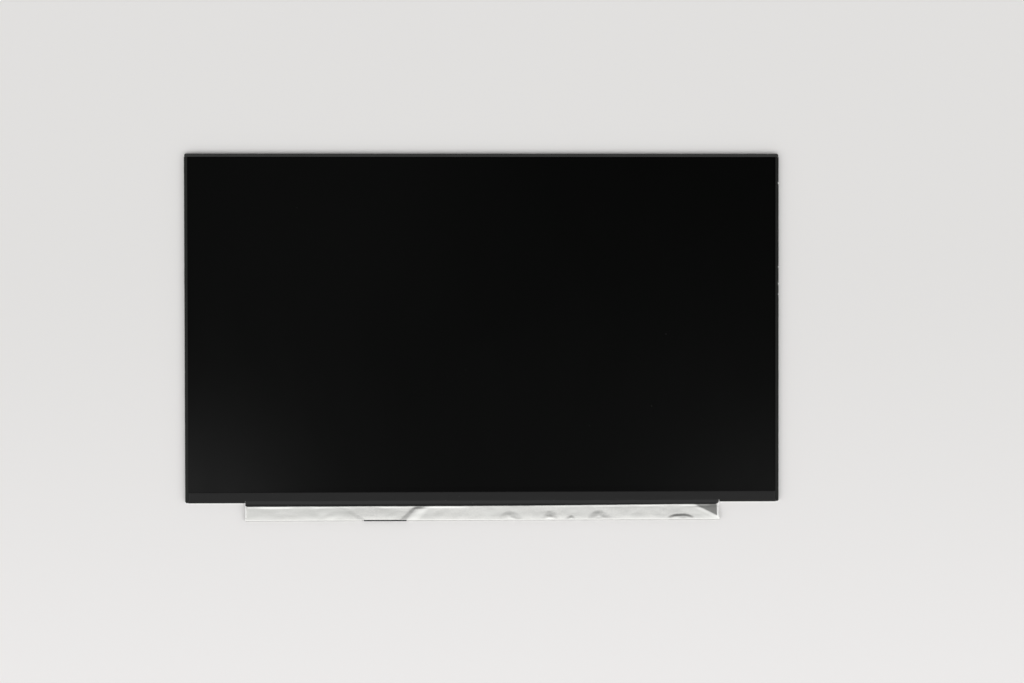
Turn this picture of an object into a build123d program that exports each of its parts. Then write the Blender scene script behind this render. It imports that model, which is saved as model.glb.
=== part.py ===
from build123d import *
import os

# Laptop screen panel: a 15.6 inch wide-format liquid-crystal module with an edge-lit backlight and its
# driver board laid flat below the lower edge. X runs to the right and Y up the screen as seen from the front,
# and Z points out of the screen. The origin is the middle of the rear cover's flat back. Sizes are in
# millimetres.

# Picture area and the borders around it
active_width = 344.16
active_height = 193.59
side_border = 3.25
top_border = 3.0
bottom_border = 9.26
corner_radius = 0.9

# Display cell
glass_thickness = 0.4
glass_corner = 0.4
glass_clearance = 0.15
filter_bottom_inset = 1.27
front_polarizer_thickness = 0.18
rear_polarizer_thickness = 0.13
polarizer_side_margin = 1.32
polarizer_top_margin = 1.07
polarizer_bottom_margin = 2.86

# Backlight
reflector_thickness = 0.18
guide_thickness = 0.42
guide_clearance = 0.15
diffuser_thickness = 0.1
prism_thickness = 0.12
sheet_clearance = 0.2
sheet_headroom = 0.08
sheet_tab_width = 8.0
sheet_tab_length = 1.0
sheet_tab_spacing = 110.0
sheet_tab_count = 3
light_bar_depth = 3.2
led_length = 3.0
led_depth = 0.8
led_height = 0.4
led_gap = 0.05
led_pitch = 7.0
led_end_margin = 4.0
led_flex_thickness = 0.1
led_flex_setback = 0.6
led_flex_overlap = 1.0
led_tail_width = 12.0
led_tail_landing = 2.4
film_bend = 0.5

# Mould frame
frame_clearance = 0.05
frame_wall = 0.5
frame_bottom_wall = 0.6
frame_lip = 0.32
opening_margin = 0.5
bond_thickness = 0.08
bond_margin = 0.1
flex_notch_clearance = 0.12
rib_drop = 0.22
slot_clearance = 0.05
snap_length = 4.8
snap_height = 0.4
snap_depth = 0.2
snap_z = 1.2
side_snap_spacing = 60.0
side_snap_count = 3
top_snap_spacing = 70.0
top_snap_count = 5

# Rear cover
cover_thickness = 0.25
cover_step = 0.14
cover_rim = 5.5
cover_bend = 0.3
field_radius = 6.0
field_chamfer = 0.1
bottom_wall_drop = 0.97
bead_count = 3
bead_spacing = 56.0
bead_width = 5.0
bead_end_inset = 24.0
bead_wall = 0.2

# Edge tape
tape_thickness = 0.08
tape_gap = 0.05
tape_bend = 0.15
tape_rear_lip = 4.2
tab_bend_start = 1.3
tab_root = 0.5
tab_bend = 1.0
tab_overlap = 1.4
tab_lift = 0.08
tab_slit = 0.4
tab_corner = 1.8
nick_depth = 0.4
# distance below the top edge and length of each nick in the right-hand tape
tape_nicks = [(17.3, 1.2), (66.9, 0.8), (76.8, 1.1), (83.1, 0.7)]

# Driver board
board_left_inset = 36.13
board_right_inset = 52.13
board_inset = 0.25
board_depth = 9.7
board_thickness = 0.5
board_corner = 0.5
board_rear_z = 1.19

# Source driver films and their chips
flex_count = 4
flex_end_inset = 25.2
flex_width = 40.0
flex_thickness = 0.05
flex_bond_setback = 0.25
flex_bond_length = 1.5
flex_drop_length = 0.7
flex_landing = 1.6
driver_length = 18.0
driver_depth = 0.9
driver_height = 0.38
driver_setback = 0.12
driver_margin = 0.16

# Film wrapped round the board
wrap_thickness = 0.1
wrap_overhang = 0.95
wrap_front_gap = 0.05
wrap_bottom_gap = 0.8
wrap_rear_lip = 4.0
window_clearance = 0.45
window_trim = 0.55
window_lift = 0.3
crease_end = 0.1
left_crease_width = 15.3
right_crease_width = 8.9
right_crease_inset = 2.5
end_fold_width = 16.4
end_fold_height = 8.0
end_fold_drop = 1.5

# Video connector
connector_inset = 81.4
contact_count = 40
contact_pitch = 0.5
contact_width = 0.2
contact_thickness = 0.12
contact_inset = 0.6
contact_step = 0.1
contact_rise = 0.3
contact_foot = 0.3
contact_clearance = 0.02
connector_end = 2.95
connector_depth = 4.0
connector_height = 1.0
connector_overhang = 0.87
socket_end = 1.0
socket_depth = 2.9
socket_height = 0.5
socket_floor = 0.18
shell_thickness = 0.12
shell_setback = 0.25
latch_width = 1.4
latch_depth = 0.9
latch_inset = 2.4

# Chips and passives on the board's rear face
controller_spacing = 26.0
controller_size = 7.0
controller_height = 0.8
power_spacing = 33.8
power_size = 5.0
power_height = 0.75
backlight_chip_spacing = 14.0
backlight_chip_size = 4.0
backlight_chip_height = 0.75
chip_chamfer = 0.12
inductor_size = 4.2
inductor_height = 0.95
inductor_corner = 0.9
inductor_gap = 3.4
capacitor_length = 1.0
capacitor_width = 0.5
capacitor_height = 0.5
capacitor_pitch = 1.3
capacitor_rows = 4
capacitor_gap = 0.9
resistor_length = 1.0
resistor_width = 0.5
resistor_height = 0.35
resistor_pitch = 2.4
resistor_count = 9
resistor_gap = 0.25

# Levels, from the back to the front
z_rim = cover_step + cover_thickness
z_guide = z_rim + reflector_thickness
z_diffuser = z_guide + guide_thickness
z_flex_top = z_diffuser + led_flex_thickness
z_lower_prism = z_diffuser + diffuser_thickness
z_upper_prism = z_lower_prism + prism_thickness
z_ledge = z_upper_prism + prism_thickness + sheet_headroom
z_rear_polarizer = z_ledge + bond_thickness
z_array = z_rear_polarizer + rear_polarizer_thickness
z_filter = z_array + glass_thickness
z_face = z_filter + glass_thickness
z_wall_top = z_face - frame_lip
z_bottom_wall = z_face - bottom_wall_drop
z_rib = z_face - rib_drop

# Half widths and edges, from the outside in
outline_x = active_width / 2 + side_border
outline_y = (active_height + top_border + bottom_border) / 2
cover_x = outline_x - tape_thickness
cover_y = outline_y - tape_thickness
cover_radius = corner_radius - tape_thickness
field_x = cover_x - cover_rim
field_y = cover_y - cover_rim
tray_x = cover_x - cover_thickness
tray_y = cover_y - cover_thickness
frame_x = tray_x - frame_clearance
frame_y = tray_y - frame_clearance
frame_radius = cover_radius - cover_thickness - frame_clearance
rim_x = frame_x - frame_wall
rim_top = frame_y - frame_wall
rim_bottom = frame_bottom_wall - frame_y
glass_x = rim_x - glass_clearance
glass_top = rim_top - glass_clearance
glass_bottom = rim_bottom + glass_clearance
active_x = active_width / 2
active_top = outline_y - top_border
active_bottom = active_top - active_height
polarizer_x = active_x + polarizer_side_margin
polarizer_top = active_top + polarizer_top_margin
polarizer_bottom = active_bottom - polarizer_bottom_margin
filter_bottom = polarizer_bottom - filter_bottom_inset
opening_x = active_x + opening_margin
opening_top = active_top + opening_margin
opening_bottom = active_bottom - opening_margin
guide_x = rim_x - guide_clearance
guide_top = rim_top - guide_clearance
guide_bottom = rim_bottom + light_bar_depth
sheet_x = opening_x - sheet_clearance
sheet_top = opening_top - sheet_clearance
sheet_bottom = opening_bottom + sheet_clearance
led_flex_bottom = rim_bottom + led_flex_setback
led_flex_top = guide_bottom + led_flex_overlap

# The driver board, its films and its wrap, below the outline's lower edge
driver_top = glass_bottom - driver_setback
flex_drop_y = driver_top - driver_depth - driver_margin
flex_foot_y = flex_drop_y - flex_drop_length
board_top = flex_foot_y + board_inset
board_bottom = board_top - board_depth
board_middle = (board_top + board_bottom) / 2
board_left = board_left_inset - outline_x
board_right = outline_x - board_right_inset
board_width = board_right - board_left
board_front_z = board_rear_z + board_thickness
wrap_x = wrap_overhang - board_left
wrap_top = flex_foot_y
wrap_bottom = board_bottom - wrap_bottom_gap
wrap_front_z = board_front_z + flex_thickness + wrap_front_gap + wrap_thickness
wrap_rear_z = cover_step - wrap_thickness
tab_x = wrap_x - tab_slit
tab_end = wrap_top - tab_overlap
connector_x = board_left + connector_inset
contact_span = (contact_count - 1) * contact_pitch
connector_length = contact_span + 2 * connector_end
mouth_y = board_bottom - connector_overhang
connector_back = mouth_y + connector_depth
contact_end = connector_back + contact_step + contact_rise + contact_foot
window_left = connector_x - connector_length / 2 - window_clearance
window_right = connector_x + connector_length / 2 + window_clearance
power_x = connector_x + power_spacing
controller_x = power_x + controller_spacing
first_flex_x = board_left + flex_end_inset
last_flex_x = board_right - flex_end_inset
flex_pitch = (last_flex_x - first_flex_x) / (flex_count - 1)
flex_positions = [first_flex_x + i * flex_pitch for i in range(flex_count)]
led_tail_x = last_flex_x - flex_pitch / 2
backlight_chip_x = led_tail_x - backlight_chip_spacing

os.makedirs("parts", exist_ok=True)


def save(piece, name):
    """Labels a finished piece and writes it as the node of that name."""
    piece.part.label = name
    export_step(piece.part, f"parts/{name}.step")


def span(half_width, bottom, top, mode=Mode.ADD):
    """A rectangle in the open sketch, centred across the panel, between two heights on the screen."""
    with Locations((0, (bottom + top) / 2)):
        Rectangle(2 * half_width, top - bottom, mode=mode)


def block(left, right, bottom, top, low, high, mode=Mode.ADD):
    """A box in the open part, from its six faces."""
    with Locations(((left + right) / 2, (bottom + top) / 2, (low + high) / 2)):
        Box(right - left, top - bottom, high - low, mode=mode)


def strip(points, thickness, bend):
    """A bent strip's section in the open sketch, from the points down along its underside."""
    with BuildLine() as underside:
        FilletPolyline(*points, radius=bend)
        offset(amount=thickness, kind=Kind.INTERSECTION, side=Side.RIGHT)
    make_face(underside.edges())


def tab_places(level):
    """Where the optical sheets' tabs sit along the top edge, at a level."""
    first = -(sheet_tab_count - 1) / 2 * sheet_tab_spacing
    return [(first + i * sheet_tab_spacing, sheet_top, level) for i in range(sheet_tab_count)]


def optical_sheet(name, low, thickness):
    """A thin sheet on the light guide, held by tabs along its top edge."""
    with BuildPart() as sheet:
        with BuildSketch(Plane.XY.offset(low)):
            span(sheet_x, sheet_bottom, sheet_top)
        extrude(amount=thickness)
        with Locations(*tab_places(low)):
            Box(sheet_tab_width, 2 * sheet_tab_length, thickness,
                align=(Align.CENTER, Align.CENTER, Align.MIN))
    save(sheet, name)


def chip(name, x, size, height):
    """A square moulded chip on the board's rear face, chamfered round its back."""
    with BuildPart() as package:
        block(x - size / 2, x + size / 2, board_middle - size / 2, board_middle + size / 2,
              board_rear_z - height, board_rear_z)
        chamfer(package.edges().group_by(Axis.Z)[0], chip_chamfer)
    save(package, name)


# Front polarizer: the matt face of the screen
with BuildPart() as front_polarizer:
    with BuildSketch(Plane.XY.offset(z_face)):
        span(polarizer_x, polarizer_bottom, polarizer_top)
    extrude(amount=front_polarizer_thickness)
save(front_polarizer, "front_polarizer")

# Colour filter glass: ends above the array glass's ledge
with BuildPart() as filter_glass:
    with BuildSketch(Plane.XY.offset(z_filter)):
        span(glass_x, filter_bottom, glass_top)
    extrude(amount=glass_thickness)
    chamfer(filter_glass.edges().filter_by(Axis.Z).group_by(Axis.Y)[-1], glass_corner)
save(filter_glass, "colour_filter_glass")

# Array glass: reaches further down, so that its ledge takes the source driver films
with BuildPart() as array_glass:
    with BuildSketch(Plane.XY.offset(z_array)):
        span(glass_x, glass_bottom, glass_top)
    extrude(amount=glass_thickness)
    chamfer(array_glass.edges().filter_by(Axis.Z), glass_corner)
save(array_glass, "array_glass")

# Rear polarizer
with BuildPart() as rear_polarizer:
    with BuildSketch(Plane.XY.offset(z_rear_polarizer)):
        span(polarizer_x, polarizer_bottom, polarizer_top)
    extrude(amount=rear_polarizer_thickness)
save(rear_polarizer, "rear_polarizer")

# Bonding tape: a ring that holds the cell on the frame's ledge
with BuildPart() as bonding_tape:
    with BuildSketch(Plane.XY.offset(z_ledge)):
        span(polarizer_x - bond_margin, polarizer_bottom + bond_margin, polarizer_top - bond_margin)
        span(opening_x + bond_margin, opening_bottom - bond_margin, opening_top + bond_margin, Mode.SUBTRACT)
    extrude(amount=bond_thickness)
save(bonding_tape, "cell_bonding_tape")

# Optical sheets on the light guide
optical_sheet("diffuser_sheet", z_diffuser, diffuser_thickness)
optical_sheet("lower_prism_sheet", z_lower_prism, prism_thickness)
optical_sheet("upper_prism_sheet", z_upper_prism, prism_thickness)

# Light guide: lit along its lower edge
with BuildPart() as light_guide:
    with BuildSketch(Plane.XY.offset(z_guide)):
        span(guide_x, guide_bottom, guide_top)
    extrude(amount=guide_thickness)
save(light_guide, "light_guide")

# Reflector: under the light guide and the row of LEDs
with BuildPart() as reflector:
    with BuildSketch(Plane.XY.offset(z_rim)):
        span(guide_x, led_flex_bottom, guide_top)
    extrude(amount=reflector_thickness)
save(reflector, "reflector_sheet")

# LED strip flex: lies over the LEDs and the guide's edge, with a tail to the board's rear face
tail_end = board_top - flex_drop_length - led_tail_landing
tail_low = board_rear_z - led_flex_thickness
tail_line = [
    (led_flex_bottom, z_diffuser),
    (board_top, z_diffuser),
    (board_top - flex_drop_length, tail_low),
    (tail_end, tail_low),
]
with BuildPart() as led_flex:
    with BuildSketch(Plane.XY.offset(z_diffuser)):
        span(guide_x, led_flex_bottom, led_flex_top)
    extrude(amount=led_flex_thickness)
    with BuildSketch(Plane.YZ.offset(led_tail_x)):
        strip(tail_line, led_flex_thickness, film_bend)
    extrude(amount=led_tail_width / 2, both=True)
save(led_flex, "led_strip_flex")

# LED packages: one row soldered under the flex, facing the guide's lower edge
led_count = int((2 * guide_x - 2 * led_end_margin - led_length) / led_pitch) + 1
led_row = guide_bottom - led_gap - led_depth / 2
with BuildPart() as leds:
    with Locations((0, led_row, z_diffuser)):
        with GridLocations(led_pitch, 0, led_count, 1):
            Box(led_length, led_depth, led_height, align=(Align.CENTER, Align.CENTER, Align.MAX))
save(leds, "led_packages")

# Mould frame: a moulded ring with a lip on the cover's walls and a ledge under the cell
snap_rows = [
    (Location((frame_x, 0, snap_z), (0, 0, 0)), side_snap_spacing, side_snap_count),
    (Location((-frame_x, 0, snap_z), (0, 0, 180)), side_snap_spacing, side_snap_count),
    (Location((0, frame_y, snap_z), (0, 0, 90)), top_snap_spacing, top_snap_count),
]
notch_floor = z_filter - driver_height - flex_notch_clearance
with BuildPart() as snap_wedge:
    with BuildSketch(Plane.XZ):
        Polygon((0, 0), (snap_depth, 0), (0, -snap_height), align=None)
    extrude(amount=snap_length / 2, both=True)
with BuildPart() as mould_frame:
    with BuildSketch(Plane.XY.offset(z_wall_top)):
        RectangleRounded(2 * cover_x, 2 * cover_y, cover_radius)
    extrude(amount=frame_lip)
    fillet(mould_frame.edges().group_by(Axis.Z)[-1], tape_bend)
    with BuildSketch(Plane.XY.offset(z_rim)):
        RectangleRounded(2 * frame_x, 2 * frame_y, frame_radius)
    extrude(amount=z_wall_top - z_rim)
    # the lip reaches down to the lower wall at both ends of the bottom edge
    block(-cover_x + cover_radius, cover_x - cover_radius, -cover_y, -frame_y, z_bottom_wall, z_wall_top)
    # pockets for the cell, for the light guide and for the LED flex, and the opening for the picture
    block(-rim_x, rim_x, rim_bottom, rim_top, z_ledge, z_face, Mode.SUBTRACT)
    block(-rim_x, rim_x, rim_bottom, rim_top, z_rim, z_diffuser, Mode.SUBTRACT)
    block(-rim_x, rim_x, rim_bottom, led_flex_top + slot_clearance, z_diffuser, z_flex_top, Mode.SUBTRACT)
    block(-opening_x, opening_x, opening_bottom, opening_top, z_rim, z_ledge, Mode.SUBTRACT)
    # recesses for the sheets' tabs
    with Locations(*tab_places(z_diffuser)):
        Box(sheet_tab_width + 2 * sheet_clearance, 2 * (sheet_tab_length + sheet_clearance),
            z_ledge - z_diffuser, align=(Align.CENTER, Align.CENTER, Align.MIN), mode=Mode.SUBTRACT)
    # the lower wall drops below the cover tape, and further where each driver film passes
    block(-wrap_x, wrap_x, -cover_y, -frame_y, z_bottom_wall, z_face, Mode.SUBTRACT)
    block(-wrap_x, wrap_x, -frame_y, rim_bottom, z_rib, z_face, Mode.SUBTRACT)
    for x in flex_positions:
        block(x - flex_width / 2 - slot_clearance, x + flex_width / 2 + slot_clearance,
              -frame_y, rim_bottom, notch_floor, z_face, Mode.SUBTRACT)
    # slot for the LED flex's tail
    block(led_tail_x - led_tail_width / 2 - slot_clearance, led_tail_x + led_tail_width / 2 + slot_clearance,
          -frame_y, rim_bottom, z_diffuser - slot_clearance, z_flex_top + slot_clearance, Mode.SUBTRACT)
    # snaps: wedges with a flat top that catches in the cover's windows
    for place, spacing, count in snap_rows:
        with Locations(place):
            with GridLocations(0, spacing, 1, count):
                add(snap_wedge.part)
save(mould_frame, "mould_frame")

# Rear cover: a stamped tray with a raised flat field and windows for the frame's snaps
bead_length = 2 * (field_x - bead_end_inset)
snap_window = (2 * cover_thickness, snap_length + 2 * slot_clearance, snap_height + 2 * slot_clearance)
with BuildPart() as rear_cover:
    with BuildSketch(Plane.XY.offset(cover_step)):
        RectangleRounded(2 * cover_x, 2 * cover_y, cover_radius)
    extrude(amount=z_wall_top - cover_step)
    fillet(rear_cover.edges().group_by(Axis.Z)[0], cover_bend)
    with BuildSketch():
        RectangleRounded(2 * field_x, 2 * field_y, field_radius)
    extrude(amount=cover_step)
    chamfer(rear_cover.edges().group_by(Axis.Z)[0], field_chamfer)
    with BuildSketch(Plane.XY.offset(z_rim)):
        RectangleRounded(2 * tray_x, 2 * tray_y, cover_radius - cover_thickness)
    extrude(amount=z_wall_top - z_rim, mode=Mode.SUBTRACT)
    with BuildSketch(Plane.XY.offset(cover_thickness)):
        RectangleRounded(2 * (field_x - cover_thickness), 2 * (field_y - cover_thickness),
                         field_radius - cover_thickness)
    extrude(amount=cover_step, mode=Mode.SUBTRACT)
    # stiffening beads, pressed in until they carry the reflector
    with BuildSketch(Plane.XY.offset(cover_thickness)):
        with GridLocations(0, bead_spacing, 1, bead_count):
            SlotOverall(bead_length + 2 * bead_wall, bead_width + 2 * bead_wall)
    extrude(amount=cover_step)
    with BuildSketch():
        with GridLocations(0, bead_spacing, 1, bead_count):
            SlotOverall(bead_length, bead_width)
    extrude(amount=cover_step, mode=Mode.SUBTRACT)
    block(-cover_x + cover_radius, cover_x - cover_radius, -cover_y, -cover_y + cover_thickness,
          z_bottom_wall, z_wall_top, Mode.SUBTRACT)
    block(led_tail_x - led_tail_width / 2 - slot_clearance, led_tail_x + led_tail_width / 2 + slot_clearance,
          -cover_y, -cover_y + cover_thickness, z_diffuser - slot_clearance, z_bottom_wall, Mode.SUBTRACT)
    for place, spacing, count in snap_rows:
        with Locations(place):
            with GridLocations(0, spacing, 1, count):
                with Locations((0, 0, slot_clearance)):
                    Box(*snap_window, align=(Align.MIN, Align.CENTER, Align.MAX), mode=Mode.SUBTRACT)
save(rear_cover, "rear_cover")

# Edge tapes: each covers the front rim, turns over the side wall and ends in the cover's rear step
lip_x = polarizer_x + tape_gap
lip_y = polarizer_top + tape_gap
side_start = cover_y - cover_radius
rear_corner = outline_y - tape_rear_lip - tape_gap


def tape_section(edge, lip_edge, rear_edge):
    """The section of an edge tape in the open sketch: its inner line, thickened outward."""
    corners = [(lip_edge, z_face), (edge, z_face), (edge, cover_step), (rear_edge, cover_step)]
    with BuildLine() as inner:
        FilletPolyline(*corners, radius=(tape_bend, cover_bend))
        offset(amount=tape_thickness, side=Side.LEFT)
    make_face(inner.edges())


def flat_lip(left, right, bottom, top):
    """The part of a tape that lies on the front rim, in the open sketch, with the panel's rounded corners."""
    RectangleRounded(2 * (cover_x - tape_bend), 2 * (cover_y - tape_bend), cover_radius - tape_bend)
    with Locations(((left + right) / 2, (bottom + top) / 2)):
        Rectangle(right - left, top - bottom, mode=Mode.INTERSECT)


with BuildPart() as side_tape:
    with BuildSketch(Plane.XZ.offset(side_start)):
        tape_section(cover_x, lip_x, outline_x - tape_rear_lip)
    extrude(amount=-(side_start + polarizer_top))
    with BuildSketch(Plane.XY.offset(z_face)):
        flat_lip(lip_x, cover_x, -cover_y, polarizer_top)
    extrude(amount=tape_thickness)
    # the rear lip stops below the top tape's
    block(outline_x - tape_rear_lip, cover_x - cover_bend, rear_corner, cover_y, 0, cover_step, Mode.SUBTRACT)

with BuildPart() as left_tape:
    mirror(side_tape.part, about=Plane.YZ)
save(left_tape, "left_edge_tape")

# The right-hand tape is nicked along its front bend
with BuildPart() as right_tape:
    add(side_tape.part)
    for below, length in tape_nicks:
        middle = outline_y - below
        block(outline_x - nick_depth, outline_x, middle - length / 2, middle + length / 2,
              z_face - nick_depth, z_face + tape_thickness, Mode.SUBTRACT)
save(right_tape, "right_edge_tape")

with BuildPart() as top_tape:
    with BuildSketch(Plane.YZ):
        tape_section(cover_y, lip_y, outline_y - tape_rear_lip)
    extrude(amount=cover_x - cover_radius, both=True)
    with BuildSketch(Plane.XY.offset(z_face)):
        flat_lip(-cover_x, cover_x, lip_y, cover_y)
    extrude(amount=tape_thickness)
save(top_tape, "top_edge_tape")

# Bottom cover tape: a flat band whose middle tab bends down over the driver films onto the board's wrap
tab_start = -outline_y + tab_bend_start
tab_top = tab_start + tab_root
tab_line = [(tab_top, z_face), (tab_start, z_face), (tab_end, wrap_front_z + tab_lift)]
with BuildPart() as bottom_tape:
    with BuildSketch(Plane.YZ):
        strip(tab_line, tape_thickness, tab_bend)
    extrude(amount=tab_x, both=True)
    # the tab's lower corners are cut off
    with BuildSketch():
        with Locations((0, (tab_top + tab_end) / 2)):
            Rectangle(2 * tab_x, tab_top - tab_end)
        with Locations((tab_x, tab_end), (-tab_x, tab_end)):
            Rectangle(tab_corner, tab_corner, rotation=45, mode=Mode.SUBTRACT)
    extrude(amount=2 * z_face, mode=Mode.INTERSECT)
    with BuildSketch(Plane.XY.offset(z_face)):
        span(lip_x - tape_gap, -outline_y, polarizer_bottom - tape_gap)
        span(wrap_x, -outline_y, tab_start, Mode.SUBTRACT)
    extrude(amount=tape_thickness)
save(bottom_tape, "bottom_cover_tape")

# Driver board
with BuildPart() as board:
    with BuildSketch(Plane.XY.offset(board_rear_z)):
        with Locations(((board_left + board_right) / 2, board_middle)):
            RectangleRounded(board_width, board_depth, board_corner)
    extrude(amount=board_thickness)
save(board, "driver_board")

# Source driver films, from the array glass's ledge down to the board's front face, each with its chip
flex_line = [
    (glass_bottom + flex_bond_setback + flex_bond_length, z_filter),
    (flex_drop_y, z_filter),
    (flex_foot_y, board_front_z),
    (flex_foot_y - flex_landing, board_front_z),
]
for number, x in enumerate(flex_positions, 1):
    with BuildPart() as source_flex:
        with BuildSketch(Plane.YZ.offset(x)):
            strip(flex_line, flex_thickness, film_bend)
        extrude(amount=flex_width / 2, both=True)
    save(source_flex, f"source_flex_{number}")
    with BuildPart() as source_driver:
        block(x - driver_length / 2, x + driver_length / 2, driver_top - driver_depth, driver_top,
              z_filter - driver_height, z_filter)
    save(source_driver, f"source_driver_{number}")

# Chips on the board's rear face
chip("timing_controller", controller_x, controller_size, controller_height)
chip("power_chip", power_x, power_size, power_height)
chip("backlight_driver", backlight_chip_x, backlight_chip_size, backlight_chip_height)

# Boost inductors, left of the power chip and of the backlight chip
for number, x in enumerate((power_x - power_size / 2, backlight_chip_x - backlight_chip_size / 2), 1):
    with BuildPart() as inductor:
        block(x - inductor_gap - inductor_size, x - inductor_gap,
              board_middle - inductor_size / 2, board_middle + inductor_size / 2,
              board_rear_z - inductor_height, board_rear_z)
        chamfer(inductor.edges().filter_by(Axis.Z), inductor_corner)
    save(inductor, f"boost_inductor_{number}")

# Ceramic capacitors: a column on each side of every chip
chips = [(controller_x, controller_size), (power_x, power_size), (backlight_chip_x, backlight_chip_size)]
with BuildPart() as capacitors:
    for x, size in chips:
        with Locations((x, board_middle, board_rear_z)):
            column_spacing = size + 2 * capacitor_gap + capacitor_length
            with GridLocations(column_spacing, capacitor_pitch, 2, capacitor_rows):
                Box(capacitor_length, capacitor_width, capacitor_height,
                    align=(Align.CENTER, Align.CENTER, Align.MAX))
save(capacitors, "ceramic_capacitors")

# Chip resistors: a row behind every driver film, clear of the largest chip
resistor_y = board_middle + controller_size / 2 + resistor_gap + resistor_width / 2
with BuildPart() as resistors:
    for x in flex_positions:
        with Locations((x, resistor_y, board_rear_z)):
            with GridLocations(resistor_pitch, 0, resistor_count, 1):
                Box(resistor_length, resistor_width, resistor_height,
                    align=(Align.CENTER, Align.CENTER, Align.MAX))
save(resistors, "chip_resistors")

# Video connector: housing with a socket that opens downward, past the board's edge
socket_top = board_rear_z - socket_floor
housing_half = connector_length / 2 - shell_thickness
housing_low = board_rear_z - connector_height + shell_thickness
socket_half = contact_span / 2 + socket_end
beam_low = socket_top - contact_thickness
with BuildPart() as housing:
    block(connector_x - housing_half, connector_x + housing_half,
          mouth_y, connector_back, housing_low, board_rear_z)
    block(connector_x - socket_half, connector_x + socket_half, mouth_y, mouth_y + socket_depth,
          socket_top - socket_height, socket_top, Mode.SUBTRACT)
    with Locations((connector_x, mouth_y + socket_depth, socket_top)):
        with GridLocations(contact_pitch, 0, contact_count, 1):
            Box(contact_width + 2 * contact_clearance, connector_depth, contact_thickness + contact_clearance,
                align=(Align.CENTER, Align.MIN, Align.MAX), mode=Mode.SUBTRACT)
save(housing, "video_connector_housing")

# Contacts: a beam along the socket's floor, and a foot behind the housing on the board
foot_low = board_rear_z - contact_thickness
contact_line = [
    (contact_end, foot_low),
    (contact_end - contact_foot, foot_low),
    (connector_back + contact_step, beam_low),
    (mouth_y + contact_inset, beam_low),
]
with BuildPart() as contact:
    with BuildSketch(Plane.YZ):
        strip(contact_line, contact_thickness, 0)
    extrude(amount=contact_width / 2, both=True)
with BuildPart() as contacts:
    with Locations((connector_x, 0, 0)):
        with GridLocations(contact_pitch, 0, contact_count, 1):
            add(contact.part)
save(contacts, "video_connector_contacts")

# Shell: a metal cover over the housing, with a leg at each end and two latch windows
with BuildPart() as shell:
    block(connector_x - connector_length / 2, connector_x + connector_length / 2,
          mouth_y + shell_setback, connector_back - shell_setback,
          housing_low - shell_thickness, board_rear_z)
    block(connector_x - housing_half, connector_x + housing_half,
          mouth_y + shell_setback, connector_back - shell_setback, housing_low, board_rear_z, Mode.SUBTRACT)
    with Locations((connector_x, (mouth_y + connector_back) / 2, housing_low)):
        with GridLocations(connector_length - 2 * latch_inset, 0, 2, 1):
            Box(latch_width, latch_depth, shell_thickness, align=(Align.CENTER, Align.CENTER, Align.MAX),
                mode=Mode.SUBTRACT)
save(shell, "video_connector_shell")

# Board wrap: one film folded round the board, open over the connector, where its free front edge stands
# forward. Slanting creases run from near the window's ends up to the top edge, and the empty right-hand end is
# pressed in.
fold_y = wrap_bottom + (wrap_front_z - wrap_rear_z) / 2
wrap_lip_y = -cover_y + wrap_rear_lip
web_height = wrap_top - fold_y
window_top = contact_end + window_clearance


def wrap_section(x, crease, rise, lift=0, dip=0):
    """The wrap's section at x: its front turns at the crease, so far below the top edge, and stands out there
    by the rise, while its top edge dips and its lower end is lifted."""
    lines = []
    for inset in (0, wrap_thickness):
        front = wrap_front_z - inset
        rear = wrap_rear_z + inset
        lines.append([
            (wrap_top, front - dip),
            (wrap_top - crease, front + rise),
            (fold_y, front + lift),
            (wrap_bottom + inset, (front + lift + rear) / 2),
            (fold_y, rear),
            (wrap_lip_y, rear),
        ])
    outer, inner = lines
    with BuildSketch(Plane.YZ.offset(x)) as section:
        with BuildLine():
            Polyline(*outer[:3])
            ThreePointArc(*outer[2:5])
            Polyline(outer[4], outer[5], inner[5], inner[4])
            ThreePointArc(inner[4], inner[3], inner[2])
            Polyline(inner[2], inner[1], inner[0], outer[0])
        make_face()
    return section.sketch


window_slope = window_lift / (web_height - crease_end)
end_slope = end_fold_drop / end_fold_height
flat = (crease_end, crease_end * window_slope)
lifted = (web_height - crease_end, window_lift, window_lift)
fold_tip = (crease_end, crease_end * end_slope)
pressed_in = (end_fold_height, crease_end * end_slope, 0, end_fold_drop)
right_crease_x = window_right - right_crease_inset
wrap_stations = [
    (-wrap_x, *flat),
    (window_left - left_crease_width, *flat),
    (window_left, *lifted),
    (right_crease_x, *lifted),
    (right_crease_x + right_crease_width, *flat),
    (wrap_x - end_fold_width, *fold_tip),
    (wrap_x, *pressed_in),
]
with BuildPart() as wrap:
    for start, end in zip(wrap_stations, wrap_stations[1:]):
        loft([wrap_section(*start), wrap_section(*end)], ruled=True)
    block(window_left, window_right, wrap_bottom, wrap_bottom + window_trim, wrap_rear_z,
          wrap_front_z + window_lift, Mode.SUBTRACT)
    block(window_left, window_right, wrap_bottom, window_top, wrap_rear_z, board_rear_z, Mode.SUBTRACT)
save(wrap, "board_wrap_film")
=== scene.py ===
import math
import bpy
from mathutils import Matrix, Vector, noise


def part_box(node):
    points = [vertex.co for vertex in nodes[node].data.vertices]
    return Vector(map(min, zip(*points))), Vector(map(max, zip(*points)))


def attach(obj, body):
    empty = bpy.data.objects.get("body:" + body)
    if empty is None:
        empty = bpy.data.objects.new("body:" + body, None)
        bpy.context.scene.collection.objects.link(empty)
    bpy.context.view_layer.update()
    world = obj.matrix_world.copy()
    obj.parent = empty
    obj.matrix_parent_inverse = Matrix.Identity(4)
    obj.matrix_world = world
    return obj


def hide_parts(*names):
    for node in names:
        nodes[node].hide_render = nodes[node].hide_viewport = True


# Laptop screen panel lying on its back. The camera looks straight down on the screen. Lengths named here are
# in millimetres, and the scene is in metres.
MM = 0.001
X_AXIS, Y_AXIS, Z_AXIS = range(3)

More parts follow.
